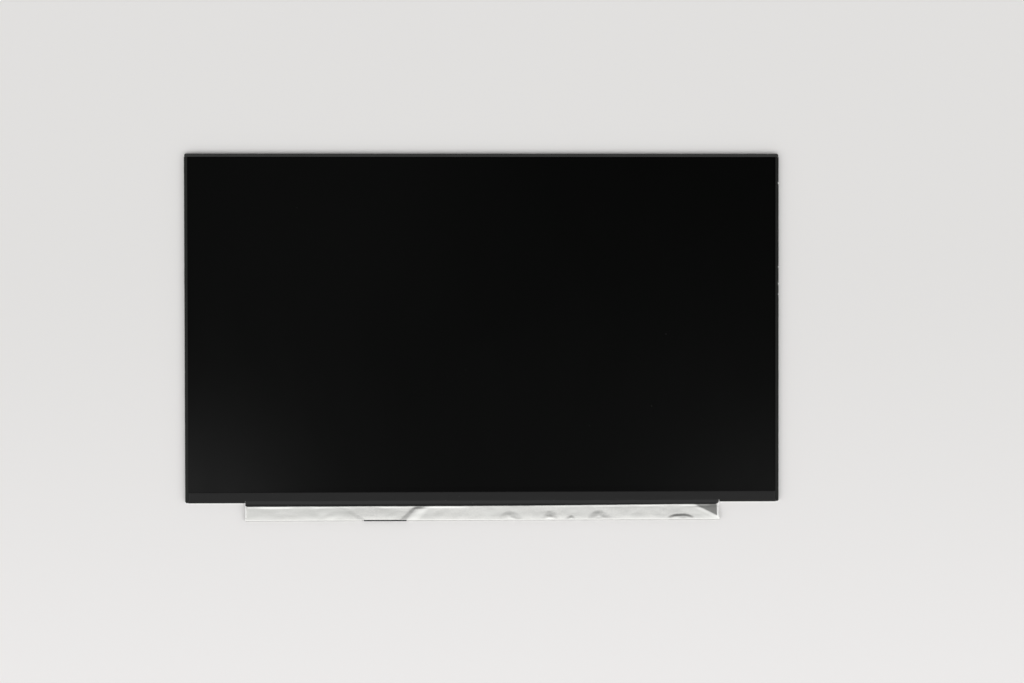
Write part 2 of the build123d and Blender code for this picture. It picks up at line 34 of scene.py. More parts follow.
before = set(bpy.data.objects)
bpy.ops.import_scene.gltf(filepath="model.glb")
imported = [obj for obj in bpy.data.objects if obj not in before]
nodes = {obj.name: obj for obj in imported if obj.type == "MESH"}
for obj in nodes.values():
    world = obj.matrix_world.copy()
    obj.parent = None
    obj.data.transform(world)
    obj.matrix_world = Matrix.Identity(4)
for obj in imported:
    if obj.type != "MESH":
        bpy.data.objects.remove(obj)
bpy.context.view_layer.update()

# Camera, as fitted to the corners of the panel in the photograph
CAMERA_PLACE = (2.94, 0.28, 842.2)
CAMERA_TURN = (-0.555, -0.983, -0.094)
CAMERA_LENS = 50.0
CAMERA_SENSOR = 36.0

# Floor and light
FLOOR_SIZE = 6000.0
# painted shade: the floor's tone near the camera, far from it, and where it turns, darker towards the far
# side
FLOOR_NEAR = (0.85, 0.835, 0.83)
FLOOR_FAR = (0.75, 0.74, 0.73)
FLOOR_TURN = (-300.0, 60.0)
FLOOR_GAP = 0.02
# brightness of the surround: overhead, from below the screen to above it, what its lower sides add to that,
# and all round near the horizon
WORLD_RAMP = [
    (0.0, 1.2), (0.14, 1.3), (0.25, 2.1), (0.35, 1.6), (0.43, 1.08), (0.5, 0.6), (0.56, 0.44), (0.62, 0.16),
    (0.79, 0.15), (0.88, 1.0), (1.0, 1.05),
]
WORLD_SIDES = 0.5
WORLD_HORIZON = 0.8
# parts of a direction over which the sides begin, the sides end towards the top, and the horizon ends
SIDES_FROM = (0.45, 0.7)
SIDES_FADE = (-0.05, 0.25)
HORIZON_FADE = (0.15, 0.45)
# name, place, size and power of each lamp
LAMPS = [
    ("left_lamp", (-426.0, -290.0, 1100.0), 250.0, 1.2),
    ("right_lamp", (407.0, -290.0, 1100.0), 250.0, 0.45),
    ("upper_lamp", (-260.0, 260.0, 1100.0), 500.0, 0.25),
]

# Margins of the screen film outside the picture area, and the soft edge of that area
PICTURE_SIDE = 1.32
PICTURE_FOOT = 2.86
PICTURE_HEAD = 1.07
PICTURE_SOFT = 0.12

# Looks of what shows: tones between which a surface drifts, tones of its marks, and ranges of roughness
SCREEN_TONES = ((0.0003, 0.0004, 0.0003), (0.0006, 0.0007, 0.0006))
SCREEN_RIM = (0.0001, 0.0001, 0.0001)
SCREEN_ROUGHNESS = (0.22, 0.26)
DUST_TONE = (0.09, 0.09, 0.085)
DUST_PART = 0.1
TAPE_ROUGHNESS = (0.34, 0.44)
SIDE_GLOSS = 0.14
WIDE_GLOSS = 0.3
LINT_TONE = (0.16, 0.16, 0.15)
LINT_PART = 0.25
WORN_TONE = (0.34, 0.34, 0.33)
FILM_TONES = ((0.63, 0.635, 0.61), (0.69, 0.685, 0.66))
# painted shade: a darker tone for the hollows of the film's crinkles
FILM_CRINKLE_SHADE = (0.62, 0.62, 0.60)
# painted highlight: white for the bright lips at both cut ends
FILM_END_HIGHLIGHT = (0.9, 0.9, 0.88)
FILM_ROUGHNESS = (0.29, 0.35)
# ranges of a noise's values: the middle ones, most of them, and nearly all
NOISE_MIDDLE = (0.3, 0.7)
NOISE_MOST = (0.25, 0.75)
NOISE_WIDE = (0.2, 0.8)

# Cover tape along the bottom, as it is in the solids
TAPE_SHEET = 0.08
TAB_START = 1.3
TAB_SLITS = (0.12, 0.4)
TAB_CORNERS = (0.45, 1.27)
TAB_RUN = 2.1
TAB_LANDING = 0.09
TAB_CURL = 0.06
TAB_OVERLAP = 1.4
TAB_TAPER = 0.7
TAPER_RUN = (0.0, 140.0)
TAPE_STEP = 1.0
BAND_ROWS = 12
TAB_ROWS = 26
# unevenness along x: size, length, and the row of the noise; over a face: size, two lengths and the layer
TAB_RAGGED = (0.06, 3.0, 2.7)
TAB_LATE = (0.45, 22.0, 8.2)
TAPE_RIPPLE = (0.02, 18.0, 5.0, 5.5)

# Wear along the edge tapes' outer corner: how far in, out and down it reaches
WORN = 0.35
WORN_PAST = 0.1
WORN_DEPTH = 0.7

# Film round the board, as the wrap is in the solids
FILM_SHEET = 0.05
FILM_STAND_OFF = 0.2
FILM_TOP_INSET = 0.25
WINDOW_MARGIN = 0.45
WINDOW_TRIM = 0.8
WINDOW_LIFT = 0.06
LEFT_CREASE = 15.3
RIGHT_CREASE = 9.0
RIGHT_FOOT = 2.5
END_FOLD_WIDTH = 16.4
END_FOLD_HEIGHT = 8.0
END_FOLD_DROP = 1.65
END_BOW = 0.7
END_BOW_RUN = 4.0
TURN_LENGTH = 2.4
TURN_DROP = 0.055
# painted highlight along the cut ends: its width, how far above the fold's foot it stops, and its soft edges
END_HIGHLIGHT_WIDTH = 0.7
END_HIGHLIGHT_FOOT = 2.6
END_HIGHLIGHT_SOFT = 0.1
END_HIGHLIGHT_FADE = 0.5
FILM_STEP = 0.6
FRONT_ROWS = 30
ARC_ROWS = 12
REAR_ROWS = 18
REAR_EASE = 2.0
# unevenness over its faces: size, two lengths and the layer of the noise
FILM_WAVES = [(0.07, 24.0, 11.0, 1.3), (0.035, 6.0, 4.5, 4.1)]
FILM_RIDGES = (0.05, 9.0, 5.0, 9.7)
FOLD_LUMPS = (0.05, 5.0, 2.0 / 3.0, 7.7)
REAR_RIPPLE = (0.09, 8.0, 6.0, 3.3)
# distances below its upper edge over which its waves, its ridges and the curl of its ends begin
WAVE_START = (1.2, 2.8)
RIDGE_START = (1.3, 3.2)
CURL_START = (1.6, 2.6)
# roll along the cover tape's edge: its two sides past that edge, its least height, and where it is higher
ROLL_RISE = (-0.4, 0.1)
ROLL_FALL = (1.3, 0.1)
ROLL_HEIGHT = 0.04
ROLL_EXTRA = 0.08
ROLL_PATCHES = (1.0, 15.0, 6.6)
ROLL_PATCH_EDGE = (-0.1, 0.35)
# creases beside the connector: the soft edge of the flap between them, the height of each outer side, how far
# out it reaches and half the width of its flank. The left one is fainter in the middle, and the right one's
# flank widens towards the fold.
FLAP_EDGE = 0.6
LEFT_RISE = 0.13
LEFT_FADE = 2.4
LEFT_REACH = (-22.0, -2.0)
LEFT_FLANK = 1.8
RIGHT_RISE = 0.32
RIGHT_REACH = (-10.0, -2.2)
RIGHT_FLANK = (1.2, 2.2)
# lip along the end fold, and height and width of the curl at each cut end
END_LIP = 0.08
END_LIP_RUN = (-0.3, 0.0)
LEFT_CURL = (0.35, 1.1)
RIGHT_CURL = (0.45, 1.0)
# unevenness of the bulges' outline and of their faces, how far the faces sink, and how round they are
BULGE_EDGE = (1.0, 3.2, 1.0, 2.2)
BULGE_DENT = (0.7, 3.6, 2.4)
BULGE_SINK = 0.15
BULGE_ROUND = 0.6
# bulges along the fold: middle, half length, top and foot of the arch below the film's upper edge, how far
# down it takes to rise, its height and how uneven it is
BULGES = [
    (16.3, 7.2, 4.4, 8.8, 3.8, 0.22, 1.0),
    (39.8, 5.2, 4.4, 8.8, 3.6, 0.24, 0.9),
    (51.7, 3.0, 7.4, 8.9, 1.4, 0.14, 0.9),
    (68.8, 7.2, 4.4, 8.4, 3.4, 0.24, 0.9),
    (117.4, 7.6, 6.5, 7.9, 1.2, 0.38, 0.25),
]


def mix(low, high, part):
    return low + (high - low) * part


def smooth(low, high, value):
    """0 below low, 1 above high, with an even turn between."""
    part = min(max((value - low) / (high - low), 0.0), 1.0)
    return part * part * (3.0 - 2.0 * part)


def uneven_line(kind, x):
    """One kind of unevenness along a line."""
    size, length, row = kind
    return size * noise.noise(Vector((x / length, row, 0.0)))


def uneven_face(kind, x, y):
    """One kind of unevenness over a face."""
    size, length, width, layer = kind
    return size * noise.noise(Vector((x / length, y / width, layer)))


def mm_box(name):
    low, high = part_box(name)
    return low / MM, high / MM


# Shader helpers


def add_node(tree, kind, inputs=None, **settings):
    """A new shader node. An input is another node's socket, which is linked, or a plain value."""
    made = tree.nodes.new(kind)
    for key, value in settings.items():
        setattr(made, key, value)
    for key, value in (inputs or {}).items():
        if isinstance(value, bpy.types.NodeSocket):
            tree.links.new(value, made.inputs[key])
        else:
            made.inputs[key].default_value = value
    return made


def new_material(name, **uniform):
    """A material with one Principled shader, whose uniform values are set on its own sockets."""
    material = bpy.data.materials.new(name)
    material.use_nodes = True
    tree = material.node_tree
    shader = tree.nodes["Principled BSDF"]
    for key, value in uniform.items():
        shader.inputs[key.replace("_", " ")].default_value = value
    return material, tree, shader


def place(tree, scale=(1.0, 1.0, 1.0)):
    """Object coordinates in millimetres, stretched by a scale."""
    coords = add_node(tree, "ShaderNodeTexCoord").outputs["Object"]
    stretch = tuple(s / MM for s in scale)
    return add_node(tree, "ShaderNodeVectorMath", {0: coords, 1: stretch}, operation="MULTIPLY").outputs[0]


def cloud(tree, scale, detail=4.0, stretch=(1.0, 1.0, 1.0), rough=0.55):
    """Noise with so many features to the millimetre."""
    vector = place(tree, stretch)
    values = {"Vector": vector, "Scale": scale, "Detail": detail, "Roughness": rough}
    return add_node(tree, "ShaderNodeTexNoise", values).outputs["Fac"]


def level(tree, value, low, high, to_low=0.0, to_high=1.0, turn="SMOOTHSTEP"):
    """A value from low to high taken to another range and held there."""
    values = {"Value": value, "From Min": low, "From Max": high, "To Min": to_low, "To Max": to_high}
    return add_node(tree, "ShaderNodeMapRange", values, interpolation_type=turn).outputs["Result"]


def sums(tree, operation, first, second):
    return add_node(tree, "ShaderNodeMath", {0: first, 1: second}, operation=operation).outputs[0]


def blend_colours(tree, part, first, second):
    values = {"Factor": part, "A": first, "B": second}
    made = add_node(tree, "ShaderNodeMix", None, data_type="RGBA")
    for socket in made.inputs:
        if socket.type == "RGBA" or socket.identifier == "Factor_Float":
            value = values[socket.name]
            if isinstance(value, bpy.types.NodeSocket):
                tree.links.new(value, socket)
            elif socket.type == "RGBA":
                socket.default_value = (*value, 1.0)
            else:
                socket.default_value = value
    return next(s for s in made.outputs if s.type == "RGBA")


def shade(colour, factor):
    return tuple(c * factor for c in colour)


def bump(tree, shader, heights):
    """Bumps from (height, depth in millimetres) pairs, one after another."""
    normal = None
    for height, depth in heights:
        values = {"Height": height, "Distance": depth * MM, "Strength": 1.0}
        if normal is not None:
            values["Normal"] = normal
        normal = add_node(tree, "ShaderNodeBump", values).outputs["Normal"]
    tree.links.new(normal, shader.inputs["Normal"])


def axes(tree):
    """The object coordinates in millimetres, axis by axis."""
    parts = add_node(tree, "ShaderNodeSeparateXYZ", {0: place(tree)})
    return parts.outputs["X"], parts.outputs["Y"], parts.outputs["Z"]


def within(tree, value, low, high, soft):
    """1 between low and high, falling to 0 over the soft width outside."""
    up = level(tree, value, low - soft, low)
    down = level(tree, value, high, high + soft, 1.0, 0.0)
    return sums(tree, "MULTIPLY", up, down)


def moulded(name, colour, roughness, grain=6.0, depth=0.004, vary=0.12):
    """Moulded or pressed matter: a fine grain and a slight drift of colour."""
    material, tree, shader = new_material(name)
    drift = cloud(tree, scale=0.06, detail=3.0)
    fine = cloud(tree, scale=grain, detail=5.0)
    tone = blend_colours(tree, drift, shade(colour, 1.0 - vary), shade(colour, 1.0 + vary))
    tone = blend_colours(tree, level(tree, fine, 0.35, 0.75), shade(colour, 1.0 - vary / 2), tone)
    tree.links.new(tone, shader.inputs["Base Color"])
    sheen = level(tree, fine, *NOISE_WIDE, roughness - 0.06, roughness + 0.06)
    tree.links.new(sheen, shader.inputs["Roughness"])
    bump(tree, shader, [(fine, depth)])
    return material


def brushed(name, colour, roughness, stretch):
    """Rolled or brushed metal, its lines along the axis that is stretched least."""
    material, tree, shader = new_material(name, Metallic=1.0)
    lines = cloud(tree, scale=1.0, detail=4.0, stretch=stretch, rough=0.65)
    patch = cloud(tree, scale=0.03, detail=3.0)
    tone = blend_colours(tree, level(tree, lines, *NOISE_MIDDLE), shade(colour, 0.86), colour)
    tone = blend_colours(tree, level(tree, patch, *NOISE_MIDDLE), shade(colour, 0.93), tone)
    tree.links.new(tone, shader.inputs["Base Color"])
    sheen = level(tree, lines, *NOISE_WIDE, roughness - 0.08, roughness + 0.1)
    tree.links.new(sheen, shader.inputs["Roughness"])
    bump(tree, shader, [(lines, 0.003), (patch, 0.02)])
    return material


def specks(tree, scale, size, share):
    """Sparse round specks: cells of a pattern, of which only a share is shown."""
    cells = add_node(tree, "ShaderNodeTexVoronoi", {"Vector": place(tree), "Scale": scale})
    near = level(tree, cells.outputs["Distance"], size * 0.5, size, 1.0, 0.0)
    chosen = add_node(tree, "ShaderNodeSeparateColor", {0: cells.outputs["Color"]}).outputs["Red"]
    return sums(tree, "MULTIPLY", near, level(tree, chosen, 1.0 - share, 1.0 - share + 0.02))


# Materials of what shows


def screen_material():
    """Matt anti-glare film over the cell: near black, a shade blacker round the picture area."""
    material, tree, shader = new_material("screen_film", Specular_IOR_Level=0.05)
    x, y, _ = axes(tree)
    low, high = mm_box("front_polarizer")
    wide = within(tree, x, low.x + PICTURE_SIDE, high.x - PICTURE_SIDE, PICTURE_SOFT)
    tall = within(tree, y, low.y + PICTURE_FOOT, high.y - PICTURE_HEAD, PICTURE_SOFT)
    picture = sums(tree, "MULTIPLY", wide, tall)
    drift = cloud(tree, scale=0.012, detail=2.0)
    tone = blend_colours(tree, drift, *SCREEN_TONES)
    tone = blend_colours(tree, picture, SCREEN_RIM, tone)
    dust = specks(tree, scale=0.11, size=0.05, share=0.1)
    tone = blend_colours(tree, sums(tree, "MULTIPLY", dust, DUST_PART), tone, DUST_TONE)
    tree.links.new(tone, shader.inputs["Base Color"])
    grain = cloud(tree, scale=5.0, detail=3.0)
    smear = cloud(tree, scale=0.03, detail=3.0, stretch=(1.0, 0.5, 1.0))
    tree.links.new(level(tree, smear, *NOISE_MOST, *SCREEN_ROUGHNESS), shader.inputs["Roughness"])
    bump(tree, shader, [(grain, 0.0015)])
    return material


def tape_material(name, colour, gloss, stretch, worn_edge=None):
    """Dark satin adhesive tape: slight wrinkles across it, lint, and pale wear on its outer edge."""
    material, tree, shader = new_material(name, Specular_IOR_Level=gloss)
    wrinkle = cloud(tree, scale=0.22, detail=3.0, stretch=stretch)
    grain = cloud(tree, scale=7.0, detail=4.0)
    drift = cloud(tree, scale=0.05, detail=3.0)
    tone = blend_colours(tree, level(tree, drift, *NOISE_MIDDLE), shade(colour, 0.82), shade(colour, 1.18))
    tone = blend_colours(tree, level(tree, grain, 0.3, 0.8), shade(colour, 0.85), tone)
    lint = specks(tree, scale=0.5, size=0.16, share=0.06)
    tone = blend_colours(tree, sums(tree, "MULTIPLY", lint, LINT_PART), tone, LINT_TONE)
    if worn_edge:
        axis, start, end = worn_edge
        where = axes(tree)
        front = mm_box("left_edge_tape")[1].z
        upper = level(tree, where[Z_AXIS], front - WORN_DEPTH, front - WORN_DEPTH / 2)
        worn = sums(tree, "MULTIPLY", level(tree, where[axis], start, end), upper)
        ragged = level(tree, cloud(tree, scale=0.55, detail=5.0), 0.60, 0.72)
        tone = blend_colours(tree, sums(tree, "MULTIPLY", worn, ragged), tone, WORN_TONE)
    tree.links.new(tone, shader.inputs["Base Color"])
    tree.links.new(level(tree, grain, *NOISE_WIDE, *TAPE_ROUGHNESS), shader.inputs["Roughness"])
    bump(tree, shader, [(wrinkle, 0.05), (grain, 0.004)])
    return material


def film_material():
    """Silvery wrapping film: a soft metal sheen with fine crinkles, painted shade in the crinkles' hollows, a
    faint warm drift of tone, and a painted highlight in white, not metallic, along both cut ends above the
    fold."""
    material, tree, shader = new_material("wrap_film")
    crinkle = cloud(tree, scale=0.9, detail=5.0, stretch=(1.0, 1.3, 1.0), rough=0.6)
    fine = cloud(tree, scale=5.0, detail=4.0)
    drift = cloud(tree, scale=0.05, detail=3.0)
    tone = blend_colours(tree, level(tree, drift, *NOISE_MIDDLE), *FILM_TONES)
    # painted shade: the film is darker in the hollows of its crinkles, where the bump is low
    tone = blend_colours(tree, level(tree, crinkle, 0.35, 0.7), FILM_CRINKLE_SHADE, tone)
    low, high = mm_box("board_wrap_film")
    x, y, _ = axes(tree)
    # painted highlight: both cut ends are white and not metallic above the fold, for the light their curled
    # lips catch
    inside = within(tree, x, low.x + END_HIGHLIGHT_WIDTH, high.x - END_HIGHLIGHT_WIDTH - END_BOW, END_HIGHLIGHT_SOFT)
    by_fold = level(tree, y, low.y + END_HIGHLIGHT_FOOT, low.y + END_HIGHLIGHT_FOOT - END_HIGHLIGHT_FADE)
    unhighlighted = sums(tree, "MAXIMUM", inside, by_fold)
    tone = blend_colours(tree, unhighlighted, FILM_END_HIGHLIGHT, tone)
    tree.links.new(tone, shader.inputs["Base Color"])
    tree.links.new(unhighlighted, shader.inputs["Metallic"])
    tree.links.new(level(tree, crinkle, *NOISE_MOST, *FILM_ROUGHNESS), shader.inputs["Roughness"])
    bump(tree, shader, [(crinkle, 0.012), (fine, 0.002)])
    return material


def striped(name, colour, stripe, pitch, axis, roughness):
    """Film or board with fine parallel conductors."""
    material, tree, shader = new_material(name)
    turns = sums(tree, "MULTIPLY", axes(tree)[axis], 2.0 * math.pi / pitch)
    wave = add_node(tree, "ShaderNodeMath", {0: turns}, operation="SINE").outputs[0]
    line = level(tree, wave, 0.1, 0.5)
    region = level(tree, cloud(tree, scale=0.16, detail=2.0), 0.40, 0.52)
    drift = cloud(tree, scale=0.5, detail=3.0)
    base = blend_colours(tree, drift, shade(colour, 0.85), shade(colour, 1.15))
    conductor = sums(tree, "MULTIPLY", line, region)
    tone = blend_colours(tree, conductor, base, stripe)
    tree.links.new(tone, shader.inputs["Base Color"])
    sheen = level(tree, drift, *NOISE_WIDE, roughness - 0.05, roughness + 0.08)
    tree.links.new(sheen, shader.inputs["Roughness"])
    bump(tree, shader, [(conductor, 0.01)])
    return material


def prism_material(name, colour, pitch, axis):
    """Clear optical sheet with a fine ribbed face."""
    material, tree, shader = new_material(name)
    rib = sums(tree, "PINGPONG", axes(tree)[axis], pitch)
    drift = cloud(tree, scale=0.05, detail=2.0)
    tone = blend_colours(tree, drift, shade(colour, 0.95), colour)
    tree.links.new(tone, shader.inputs["Base Color"])
    tree.links.new(level(tree, drift, *NOISE_WIDE, 0.2, 0.32), shader.inputs["Roughness"])
    bump(tree, shader, [(rib, 0.02)])
    return material


OUTLINE = mm_box("rear_cover")
low, high = OUTLINE
LEFT_WEAR = (X_AXIS, low.x + WORN, low.x - WORN_PAST)
RIGHT_WEAR = (X_AXIS, high.x - WORN, high.x + WORN_PAST)
TOP_WEAR = (Y_AXIS, high.y - WORN, high.y + WORN_PAST)
ALONG_X = (1.0, 0.25, 1.0)
ALONG_Y = (0.25, 1.0, 1.0)
materials = {
    "screen_film": screen_material(),
    # The edge tapes are lit and shaded copies of one tape. The top one's colour is lighter, painted light
    # from above the screen, and the right one's is a shade darker, painted shade.
    "tape_left": tape_material("edge_tape_left", (0.015, 0.016, 0.0145), SIDE_GLOSS, ALONG_Y, LEFT_WEAR),
    "tape_right": tape_material("edge_tape_right_painted_shade", (0.013, 0.0135, 0.0125), SIDE_GLOSS, ALONG_Y, RIGHT_WEAR),
    "tape_top": tape_material("edge_tape_top_painted_light", (0.025, 0.026, 0.025), WIDE_GLOSS, ALONG_X, TOP_WEAR),
    "tape_bottom": tape_material("cover_tape", (0.0015, 0.0015, 0.0015), WIDE_GLOSS, ALONG_X),
    "wrap_film": film_material(),
    "cover_metal": brushed("cover_metal", (0.66, 0.67, 0.68), roughness=0.36, stretch=(0.012, 2.2, 1.0)),
    "shell_steel": brushed("shell_steel", (0.60, 0.59, 0.57), roughness=0.3, stretch=(0.1, 5.0, 5.0)),
    "contact_gold": brushed("contact_gold", (0.78, 0.56, 0.22), roughness=0.25, stretch=(6.0, 0.3, 6.0)),
    "frame_plastic": moulded("frame_plastic", (0.76, 0.76, 0.74), roughness=0.5),
    "connector_plastic": moulded("connector_plastic", (0.014, 0.014, 0.015), roughness=0.5),
    "chip_black": moulded("chip_black", (0.022, 0.022, 0.023), roughness=0.55, grain=12.0, depth=0.006),
    "ferrite": moulded("ferrite", (0.055, 0.055, 0.06), roughness=0.62, grain=10.0, depth=0.01),
    "capacitor": moulded("capacitor", (0.34, 0.24, 0.15), roughness=0.45, grain=14.0),
    "resistor": moulded("resistor", (0.03, 0.03, 0.034), roughness=0.35, grain=14.0),
    "led_body": moulded("led_body", (0.80, 0.78, 0.62), roughness=0.4, grain=10.0),
    "cell_glass": moulded("cell_glass", (0.010, 0.012, 0.011), roughness=0.12, grain=2.0, depth=0.0005),
    "inner_film": moulded("inner_film", (0.05, 0.05, 0.055), roughness=0.3, grain=5.0, depth=0.001),
    "bond_tape": moulded("bond_tape", (0.02, 0.02, 0.02), roughness=0.6, grain=5.0),
    "guide_plastic": moulded("guide_plastic", (0.80, 0.83, 0.82), roughness=0.12, grain=3.0, depth=0.002),
    "reflector_film": moulded("reflector_film", (0.88, 0.88, 0.88), roughness=0.35, grain=4.0),
    "diffuser_film": moulded("diffuser_film", (0.84, 0.84, 0.83), roughness=0.55, grain=8.0),
    "lower_prism": prism_material("lower_prism", (0.80, 0.81, 0.82), pitch=0.05, axis=X_AXIS),
    "upper_prism": prism_material("upper_prism", (0.80, 0.81, 0.82), pitch=0.05, axis=Y_AXIS),
    "flex_white": striped("flex_white", (0.72, 0.72, 0.70), (0.55, 0.50, 0.42),
                          pitch=1.2, axis=Y_AXIS, roughness=0.45),
    "flex_amber": striped("flex_amber", (0.36, 0.17, 0.035), (0.52, 0.28, 0.10),
                          pitch=0.4, axis=X_AXIS, roughness=0.35),
    "board": striped("board", (0.012, 0.075, 0.035), (0.03, 0.13, 0.06),
                     pitch=0.6, axis=Y_AXIS, roughness=0.4),
}

# Material of each node. A numbered node is listed without its number.
FINISH_OF = {
    "front_polarizer": "screen_film",
    "left_edge_tape": "tape_left",
    "right_edge_tape": "tape_right",
    "top_edge_tape": "tape_top",
    "bottom_cover_tape": "tape_bottom",
    "board_wrap_film": "wrap_film",
    "rear_cover": "cover_metal",
    "video_connector_shell": "shell_steel",
    "video_connector_contacts": "contact_gold",
    "video_connector_housing": "connector_plastic",
    "mould_frame": "frame_plastic",
    "timing_controller": "chip_black",
    "power_chip": "chip_black",
    "backlight_driver": "chip_black",
    "ceramic_capacitors": "capacitor",
    "chip_resistors": "resistor",
    "led_packages": "led_body",
    "colour_filter_glass": "cell_glass",
    "array_glass": "cell_glass",
    "rear_polarizer": "inner_film",
    "cell_bonding_tape": "bond_tape",
    "light_guide": "guide_plastic",
    "reflector_sheet": "reflector_film",
    "diffuser_sheet": "diffuser_film",
    "lower_prism_sheet": "lower_prism",
    "upper_prism_sheet": "upper_prism",
    "led_strip_flex": "flex_white",
    "driver_board": "board",
    "source_flex": "flex_amber",
    "source_driver": "chip_black",
    "boost_inductor": "ferrite",
}
for name, part in nodes.items():
    finish = FINISH_OF[name.rstrip("_0123456789")]
    for holder in part.material_slots:
        holder.material = materials[finish]


def thin_sheet(name, columns, rows, point, kept, thickness, node, material):
    """A thin sheet in a node's place: a grid of points, less the cells cut out, given a thickness."""
    wide = len(columns)
    points = [point(x, row) * MM for row in rows for x in columns]
    faces = []
    for r in range(len(rows) - 1):
        for c in range(wide - 1):
            if kept((columns[c] + columns[c + 1]) / 2, r):
                corner = r * wide + c
                faces.append((corner, corner + wide, corner + wide + 1, corner + 1))
    used = sorted({i for f in faces for i in f})
    renumber = {old: new for new, old in enumerate(used)}
    mesh = bpy.data.meshes.new(name)
    mesh.from_pydata([points[i] for i in used], [], [[renumber[i] for i in f] for f in faces])
    mesh.shade_smooth()
    mesh.materials.append(materials[material])
    piece = bpy.data.objects.new(name, mesh)
    bpy.context.scene.collection.objects.link(piece)
    sheet = piece.modifiers.new("sheet", "SOLIDIFY")
    sheet.thickness = thickness * MM
    sheet.offset = -1.0
    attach(piece, "root")
    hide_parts(node)


def spread(edges, step):
    """Places along x from edge to edge, about a step apart."""
    places = []
    for start, end in zip(edges, edges[1:]):
        count = max(round((end - start) / step), 1)
        places += [mix(start, end, i / count) for i in range(count)]
    return places + [edges[-1]]


# Cover tape along the bottom


def tab_taper(x):
    """How much shorter the tab is towards its right-hand end."""
    return TAB_TAPER * smooth(*TAPER_RUN, x)


def cover_tape():
    """The flat band and its middle tab, which bends down over the driver films onto the board's film."""
    low, high = mm_box("bottom_cover_tape")
    lower_edge = OUTLINE[0].y - TAPE_SHEET
    film_right = mm_box("board_wrap_film")[1].x
    tab_left = TAB_SLITS[0] - film_right
    tab_right = film_right - TAB_SLITS[1]
    bend = lower_edge + TAB_START
    landing = mm_box("driver_board")[1].z + FILM_STAND_OFF + TAB_LANDING + TAPE_SHEET
    fall = high.z - landing
    columns = spread([low.x, -film_right, tab_left, tab_right, film_right, high.x], TAPE_STEP)
    rows = [("band", i / BAND_ROWS) for i in range(BAND_ROWS)]
    rows += [("tab", i / TAB_ROWS) for i in range(TAB_ROWS + 1)]

    def point(x, row):
        kind, part = row
        if kind == "band":
            y = mix(high.y, bend, part)
        elif tab_left <= x <= tab_right:
            cut = max(TAB_CORNERS[0] - (x - tab_left), TAB_CORNERS[1] - (tab_right - x), 0.0)
            y = mix(bend, low.y + cut + tab_taper(x) + uneven_line(TAB_RAGGED, x), part)
        else:
            y = mix(bend, lower_edge, part)
        z = high.z + abs(uneven_face(TAPE_RIPPLE, x, y))
        if kind == "tab" and tab_left <= x <= tab_right:
            late = abs(uneven_line(TAB_LATE, x))
            down = bend - y
            z -= fall * smooth(late, TAB_RUN + late / 2, down)
            z += TAB_CURL * smooth(TAB_RUN, bend - low.y, down)
        return Vector((x, y, z))

    def kept(x, r):
        return r < BAND_ROWS or tab_left < x < tab_right or abs(x) > film_right

    thin_sheet("bent_cover_tape", columns, rows, point, kept, TAPE_SHEET,
               "bottom_cover_tape", "tape_bottom")


# Film round the board


def film_relief(x, drop, web, window_left, window_right, left, right):
    """How far the film's front stands out at x, so far below its upper edge."""
    height = sum(uneven_face(kind, x, drop) for kind in FILM_WAVES)
    height += abs(uneven_face(FILM_RIDGES, x, drop))
    height *= smooth(*WAVE_START, drop)
    # a low roll along the cover tape's edge, higher here and there
    past = drop - TAB_OVERLAP + tab_taper(x)
    roll = smooth(*ROLL_RISE, past) * smooth(*ROLL_FALL, past)
    patch = smooth(*ROLL_PATCH_EDGE, uneven_line(ROLL_PATCHES, x))
    height += roll * (ROLL_HEIGHT + ROLL_EXTRA * patch)
    # the free flap over the connector, between two slanting creases whose outer sides stand higher
    along = drop / web
    from_left = x - window_left + LEFT_CREASE * (1.0 - along)
    from_right = window_right - RIGHT_FOOT + RIGHT_CREASE * (1.0 - along) - x
    lift = WINDOW_LIFT * along
    height += lift * smooth(-FLAP_EDGE, FLAP_EDGE, from_left) * smooth(-FLAP_EDGE, FLAP_EDGE, from_right)
    ridge = smooth(*RIDGE_START, drop)
    outer = smooth(*LEFT_REACH, from_left) * smooth(LEFT_FLANK, -LEFT_FLANK, from_left)
    height += (LEFT_RISE * (1.0 - LEFT_FADE * along * (1.0 - along)) + lift) * ridge * outer
    flank = mix(*RIGHT_FLANK, along)
    outer = smooth(*RIGHT_REACH, from_right) * smooth(flank, -flank, from_right)
    height += (RIGHT_RISE + lift) * ridge * outer
    # bulges that arch up from the fold
    for middle, half, top, foot, run, rise, uneven in BULGES:
        across = (x - middle) / half
        if abs(across) < 1.0:
            arch = mix(top, foot, across * across) + uneven * uneven_face(BULGE_EDGE, x, middle)
            dent = 1.0 + uneven * (uneven_face((*BULGE_DENT, middle), x, drop) - BULGE_SINK)
            body = dent * (1.0 - across * across) ** BULGE_ROUND
            height += rise * body * min(max((drop - arch) / run, 0.0), 1.0)
    # the empty right-hand end is pressed in along a slanting fold
    beyond = (x - right + END_FOLD_WIDTH) / END_FOLD_WIDTH - drop / END_FOLD_HEIGHT
    height += END_LIP * ridge * smooth(*END_LIP_RUN, beyond)
    height -= END_FOLD_DROP * max(beyond, 0.0)
    # it turns gently into the fold
    near_fold = max(drop - web + TURN_LENGTH, 0.0) / TURN_LENGTH
    height -= TURN_DROP * near_fold * near_fold
    # both cut ends curl forward a little
    curl = smooth(*CURL_START, drop)
    for (curl_height, width), inward in ((LEFT_CURL, x - left), (RIGHT_CURL, right - x)):
        height += curl * curl_height * smooth(width, 0.0, inward)
    return height


